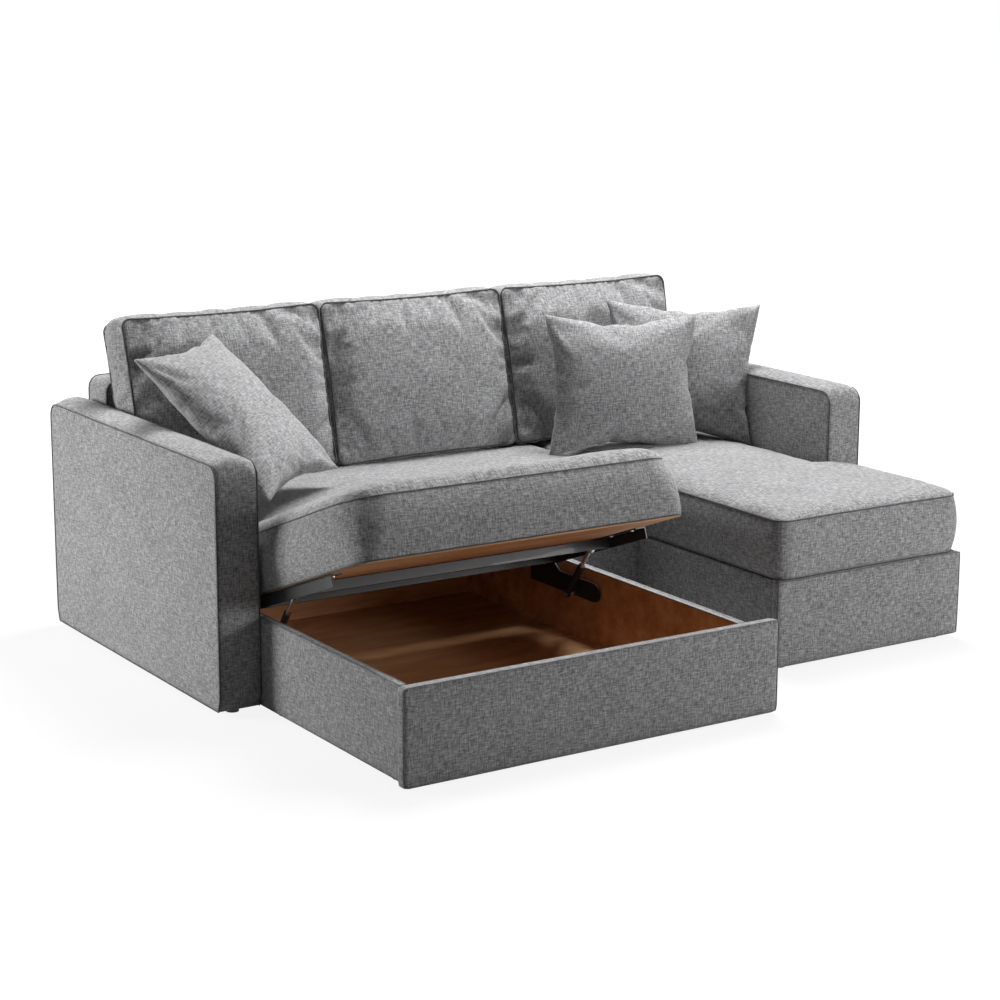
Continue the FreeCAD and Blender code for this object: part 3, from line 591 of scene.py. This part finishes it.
# Lounge: wide before the right arm, narrow beside it
def lounge_shape(points, verts):
    """Steps the rear part of the right side in, beside the arm."""
    out = verts.copy()
    step_y = ARM_FRONT - 0.006 - lounge_mid[1]
    inner_x = RIGHT - ARM_WIDTH - 0.006 - lounge_mid[0]
    behind = smoothstep(out[:, 1], step_y - 0.004, step_y + 0.004)
    over = np.maximum(out[:, 0] - inner_x, 0.0)
    reach = np.maximum(lounge_half[0] - inner_x, 1e-6)
    start = inner_x - 0.10
    squeeze = np.where(out[:, 0] > start, (out[:, 0] - start) / (lounge_half[0] - start), 0.0)
    target = start + squeeze * (inner_x - start)
    out[:, 0] = np.where(over + squeeze > 0, out[:, 0] + (target - out[:, 0]) * behind, out[:, 0])
    return out


lounge_low = (0.381, -0.5695, 0.242)
lounge_high = (0.998, 0.711, SEAT_EDGE - 0.010)
lounge_mid = middle(lounge_low, lounge_high)
lounge_half = [(q - p) / 2.0 for p, q in zip(lounge_low, lounge_high)]
seat_piece(
    "lounge_cover", "lounge_cushion", "root", lounge_low, lounge_high, 0.020, corner=0.040, belly=0.012,
    draw=0.005, power=2.4, cell=0.0105, puckers=0.0026, wrinkle=0.0024, seed=51, shape=lounge_shape,
    roll=(0.021, 0.075))

# Seat that lifts, modelled closed and then turned about its pivot
tip = Matrix.Translation(PIVOT) @ Matrix.Rotation(-LIFT, 4, "X") @ Matrix.Translation(-PIVOT)
lift_low = Vector((-0.872, -0.6725, 0.2438))
lift_high = Vector((0.046, -0.0145, SEAT_EDGE - 0.018))
lift_half = [(q - p) / 2.0 for p, q in zip(lift_low, lift_high)]


def lift_shape(points, verts):
    """Leans the rear border forward at the top, clear of the cushion behind it."""
    out = verts.copy()
    share = smoothstep(points[:, 1], 0.55, 1.0) * (points[:, 2] + 1.0) / 2.0
    out[:, 1] -= 0.048 * share
    return out


lift = soft_piece(
    "lift_seat_cover", "lift_seat", tip @ ((lift_low + lift_high) / 2.0), lift_half, tip.to_3x3(),
    corner=0.100, foot_corner=0.052, crown=0.012, belly=0.012, draw=0.004, power=2.4, cell=0.010,
    puckers=0.0034,
    pucker_sides=(0.6, 0.8, 1.4, 0.4), wrinkle=0.0024, seed=61, shape=lift_shape, roll=(0.036, 0.085),
    welt_radius=0.0020)
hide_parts("lift_seat_cushion")

def filled_back(points, verts, quads):
    """Front face and borders swell between the welts, which stay where they are sewn."""
    s, t, r = points[:, 0], points[:, 1], points[:, 2]
    seam = (np.abs(np.abs(r) - 1.0) < 1e-6) & ((np.abs(s) > 0.9999) | (np.abs(t) > 0.9999))
    pinned = np.where(seam, 1.0, 0.0)
    pinned = np.where((r < -0.999) & ~seam, 0.5, pinned)
    jitter = noise(verts / 0.05, 17) * 0.0012
    start = verts + vertex_normals(verts, quads) * jitter[:, None]
    return blown(start, quads, pinned, 2.6, 0.045, 20, 0.024)


# Loose back cushions, leaning on the back
lean_turn = Matrix.Rotation(math.radians(90.0) - BACK_LEAN, 3, "X")
foot_z, thick, tall = SEAT_EDGE + 0.022, 0.155, 0.460
front_y = ARM_FRONT + 0.640
anchor = Vector((0.0, front_y + thick * math.cos(BACK_LEAN), foot_z - thick * math.sin(BACK_LEAN)))
cushion_seeds = {"left": 71, "middle": 74, "right": 77}
for place, seed in cushion_seeds.items():
    node = place + "_back_cushion"
    low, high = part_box(node)
    half = ((high[0] - low[0]) / 2.0 - 0.003, tall / 2.0 - 0.004, (thick - 0.030) / 2.0)
    centre = anchor + lean_turn @ Vector(((low[0] + high[0]) / 2.0, tall / 2.0, (thick - 0.030) / 2.0))

    def rest_shape(points, verts, centre=centre):
        """Flattens the foot on the seat below."""
        placed = verts @ np.array(lean_turn).T + np.array(centre)
        floor_z = SEAT_EDGE + 0.0145
        sunk = np.maximum(floor_z - placed[:, 2], 0.0)
        placed[:, 2] += sunk
        return (placed - np.array(centre)) @ np.array(lean_turn)

    cushion = soft_piece(
        node + "_cover", "root", centre, half, lean_turn, corner=0.026, crown=0.022, foot=0.006, belly=0.006,
        draw=0.006, power=2.4, cell=0.0095, puckers=0.0022, pucker_sides=(1.3, 0.7, 0.8, 0.7), wrinkle=0.0018,
        seed=seed, shape=rest_shape, cloth_run=filled_back)
    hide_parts(node)


# Throw pillows with knife edges, filled out as cloth from two flat panels
CLOTH_SHARE = 0.42


def pillow_piece(name, node, size, place, thickness, seed):
    width, height = size
    x, y, z, yaw, lean, roll = place
    turn = (Matrix.Rotation(math.radians(yaw), 3, "Z") @ Matrix.Rotation(math.radians(90.0 - lean), 3, "X")
            @ Matrix.Rotation(math.radians(roll), 3, "Z"))
    centre = Vector((LEFT + x if x > 0 else RIGHT + x, REAR - y, SEAT_EDGE + z))
    low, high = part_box(node)
    low, high = np.array(low), np.array(high)

    def filled(points, verts, quads):
        """A plump knife-edged form that takes on part of what the cloth does under pressure."""
        s, t, r = points[:, 0], points[:, 1], points[:, 2]
        on_panel = np.where(np.abs(r) > 0.999, np.sign(r), r)
        flat = np.stack([width / 2.0 * s, height / 2.0 * t, on_panel * 0.003], 1)
        fat = (np.clip(1.0 - s * s, 0, 1) * np.clip(1.0 - t * t, 0, 1)) ** 0.6
        flat[:, 2] += on_panel * (0.045 * fat + 0.0016 * noise(flat / 0.055 + seed, seed))
        soft = blown(flat, quads, np.zeros(len(points)), 5.5, 0.03, 24, 0.20, 18.0)
        soft = soft * (np.array([width, height, thickness]) / 2.0 / np.abs(soft).max(0))
        plump = np.stack([
            width / 2.0 * s * (1.0 - 0.045 * (1.0 - t * t) * np.abs(s) ** 2),
            height / 2.0 * t * (1.0 - 0.045 * (1.0 - s * s) * np.abs(t) ** 2),
            on_panel * (0.003 + (thickness / 2.0 - 0.003)
                        * (np.clip(1.0 - s ** 2, 0, 1) * np.clip(1.0 - t ** 2, 0, 1)) ** 0.5)
        ], 1)
        form = plump * (1.0 - CLOTH_SHARE) + soft * CLOTH_SHARE
        gap_x, gap_y = width / 2.0 * (1.0 - np.abs(s)), height / 2.0 * (1.0 - np.abs(t))
        away = np.hypot(gap_x, gap_y)
        angle = np.arctan2(gap_y, gap_x)
        side_key = np.sign(s) * 3.0 + np.sign(t) * 7.0 + np.sign(on_panel) * 13.0
        fold = noise(np.stack([angle * 3.4, away / 0.11, side_key + seed], 1), seed)
        form[:, 2] += on_panel * 0.0075 * fold * np.exp(-((away - 0.075) / 0.055) ** 2) * np.minimum(
            1.0, np.minimum(gap_x, gap_y) / 0.012)
        return form

    def pressed(points, verts):
        """Flattens the pillow where it lies on the seat and against the arm."""
        matrix = np.array(turn)
        placed = verts @ matrix.T + np.array(centre)
        slack = 0.004
        placed = np.minimum(np.maximum(placed, low - slack), high + slack)
        return (placed - np.array(centre)) @ matrix

    piece = soft_piece(
        name, "root", centre, (width / 2.0, height / 2.0, 0.004), turn, cell=0.0085, puckers=0.0,
        wrinkle=0.0016,
        seed=seed, shape=pressed, welts=(), material=pillow_cloth, cloth_run=filled)
    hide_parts(node)
    return piece


PILLOW_THICKNESS = 0.146
# Node, width and height, then x, y, z, yaw, lean and roll, then seed
pillows = (
    ("left_pillow", (0.440, 0.500), (0.303, 0.524, 0.235, 38.0, 47.0, 0.0), 81),
    ("front_pillow", (0.450, 0.404), (-0.478, 0.516, 0.202, -20.0, 12.0, -1.0), 84),
    ("rear_pillow", (0.452, 0.410), (-0.256, 0.494, 0.216, -38.0, 14.0, -2.0), 87),
)
for node, size, place, seed in pillows:
    pillow_piece(node + "_cover", node, size, place, PILLOW_THICKNESS, seed)


# Upholstered boards, and the padded covers of the pull-out box, open to its inside
def board_cover(name, node, body, turn, thin, slot="upholstered_board", trim=(0.0, 0.0), reach=0.0,
                **extra):
    """Padded cloth round a board; trim takes a little off its low and high side across the board.

    reach carries it on at the front, up to the cloth that it meets there.
    """
    low, high = [list(corner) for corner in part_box(node)]
    low[1] -= reach
    across_axis = {"y": 1, "x": 0}[thin]
    low[across_axis] += trim[0]
    high[across_axis] -= trim[1]
    size = [(q - p) / 2.0 for p, q in zip(low, high)]
    order = {"y": (0, 2, 1), "x": (1, 2, 0)}[thin]
    # Board welts take the dim welt cloth, painted seam shade.
    settings = dict(corner=0.004, crown=0.002, foot=0.001, belly=0.001, draw=0.0, power=8.0, cell=0.014,
                    puckers=0.0006, wrinkle=0.0010, material=panel_cloth, welt_radius=0.0014,
                    welt_material=dim_welt_painted_shade)
    settings.update(extra)
    piece = soft_piece(name, body, middle(low, high), [size[k] for k in order], turn, **settings)
    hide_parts(node)
    return piece


board_cover("lounge_front_cloth", "lounge_front_panel", "root", UPRIGHT, "y", seed=91, welts=(1,))
board_cover("lounge_left_cloth", "lounge_left_panel", "root", SIDEWAYS, "x", seed=92, welts=())
board_cover("lounge_right_cloth", "lounge_right_panel", "root", SIDEWAYS, "x", seed=93, welts=())
board_cover("middle_front_cloth", "middle_front_panel", "root", UPRIGHT, "y", seed=94, welts=(),
            belly=-0.0015, wrinkle=0.0004)
board_cover("box_front_cloth", "box_front_cover", "storage_box", UPRIGHT, "y", "upholstery", (0.0, 0.0012),
            seed=95, corner=0.008, crown=0.003, welts=(1,))
board_cover("box_left_cloth", "box_left_cover", "storage_box", SIDEWAYS, "x", "upholstery", (0.0, 0.0012),
            seed=96, corner=0.0025, welt_radius=0.0018, reach=0.0025, crown=0.001, wrinkle=0.0005)
# The right cover's welt takes the pale cloth, a painted highlight along its lit top edge.
board_cover("box_right_cloth", "box_right_cover", "storage_box", SIDEWAYS, "x", "upholstery", (0.0012, 0.0),
            seed=97, corner=0.0025, welt_radius=0.0020, welt_material=pale_welt_painted_highlight, reach=0.0025, crown=0.0005,
            wrinkle=0.0004)

# Finishes of the carried-over parts
finishes = {
    "plywood": plywood, "frame_timber": timber, "black_steel": black_steel, "zinc_steel": zinc,
    "chrome_rod": chrome, "glide_plastic": plastic,
}
for row in frame["record"]["subparts"]:
    finish = finishes.get(row["material_slot"])
    if finish is None:
        continue
    item = nodes[row["node"]]
    for slot_item in item.material_slots:
        slot_item.material = finish
    if not item.material_slots:
        item.data.materials.append(finish)

# Floor, light and camera
def plain_floor():
    material, tree, shader = node_material("studio_floor")
    output = tree.nodes["Material Output"]
    shader.inputs["Base Color"].default_value = (0.34, 0.34, 0.34, 1.0)
    shader.inputs["Roughness"].default_value = 0.9
    path = add(tree, "ShaderNodeLightPath")
    seen = maths(tree, "MAXIMUM", path.outputs["Is Camera Ray"], path.outputs["Is Glossy Ray"])
    glow = add(tree, "ShaderNodeEmission")
    glow.inputs["Strength"].default_value = 1.25
    mix = add(tree, "ShaderNodeMixShader")
    coords = add(tree, "ShaderNodeTexCoord").outputs["Object"]
    reach = add(tree, "ShaderNodeVectorMath", operation="LENGTH")
    tree.links.new(coords, reach.inputs[0])
    outer = add(tree, "ShaderNodeMapRange", interpolation_type="SMOOTHSTEP")
    outer.inputs["From Min"].default_value = 1.3
    outer.inputs["From Max"].default_value = 3.4
    outer.inputs["To Min"].default_value = 0.70
    outer.inputs["To Max"].default_value = 1.0
    tree.links.new(reach.outputs["Value"], outer.inputs["Value"])
    tree.links.new(maths(tree, "MULTIPLY", seen, outer.outputs["Result"]), mix.inputs["Fac"])
    tree.links.new(shader.outputs["BSDF"], mix.inputs[1])
    tree.links.new(glow.outputs["Emission"], mix.inputs[2])
    tree.links.new(mix.outputs["Shader"], output.inputs["Surface"])
    return material


floor = mesh_object("floor", [(-30, -30, -0.0005), (30, -30, -0.0005), (30, 30, -0.0005), (-30, 30, -0.0005)],
                    [(0, 1, 2, 3)])
floor.data.materials.append(plain_floor())

world = bpy.data.worlds.new("studio")
bpy.context.scene.world = world
world.use_nodes = True
tree = world.node_tree
background = tree.nodes["Background"]
background.inputs["Color"].default_value = (1.0, 1.0, 1.0, 1.0)
path = add(tree, "ShaderNodeLightPath")
seen = maths(tree, "MAXIMUM", path.outputs["Is Camera Ray"], path.outputs["Is Glossy Ray"])
strength = maths(tree, "ADD", maths(tree, "MULTIPLY", seen, 0.965), 0.035)
tree.links.new(strength, background.inputs["Strength"])


def area_light(name, place, target, size, power, spread=math.pi):
    data = bpy.data.lights.new(name, "AREA")
    data.shape = "RECTANGLE"
    data.size, data.size_y = size
    data.energy = power
    data.spread = spread
    lamp = bpy.data.objects.new(name, data)
    bpy.context.collection.objects.link(lamp)
    lamp.location = place
    direction = Vector(target) - Vector(place)
    lamp.rotation_euler = direction.to_track_quat("-Z", "Y").to_euler()
    return lamp


area_light("key_left", (-3.7, 1.8, 1.15), (-1.0, 0.35, 0.25), (1.4, 1.0), 24.0, math.radians(75.0))
area_light("overhead", (0.9, 0.7, 3.6), (0.1, 0.0, 0.4), (1.9, 1.3), 215.0)
area_light("front_right", (2.3, -3.0, 1.2), (0.2, 0.0, 0.3), (1.3, 1.1), 76.0)

yaw, pitch, roll = (math.radians(k) for k in (33.093, 12.772, 0.239))
forward = Vector((math.sin(yaw) * math.cos(pitch), math.cos(yaw) * math.cos(pitch), -math.sin(pitch)))
across = Vector((math.cos(yaw), -math.sin(yaw), 0.0))
upward = Vector((math.sin(yaw) * math.sin(pitch), math.cos(yaw) * math.sin(pitch), math.cos(pitch)))
right_axis = across * math.cos(roll) + upward * math.sin(roll)
up_axis = upward * math.cos(roll) - across * math.sin(roll)
camera_data = bpy.data.cameras.new("camera")
camera_data.sensor_fit = "HORIZONTAL"
camera_data.sensor_width = 36.0
camera_data.lens = 85.2
camera = bpy.data.objects.new("camera", camera_data)
bpy.context.collection.objects.link(camera)
turn = Matrix((right_axis, up_axis, -forward)).transposed().to_4x4()
camera.matrix_world = Matrix.Translation((-3.4134, -5.0834, 1.7798)) @ turn
bpy.context.scene.camera = camera
bpy.context.scene.view_settings.view_transform = "Standard"
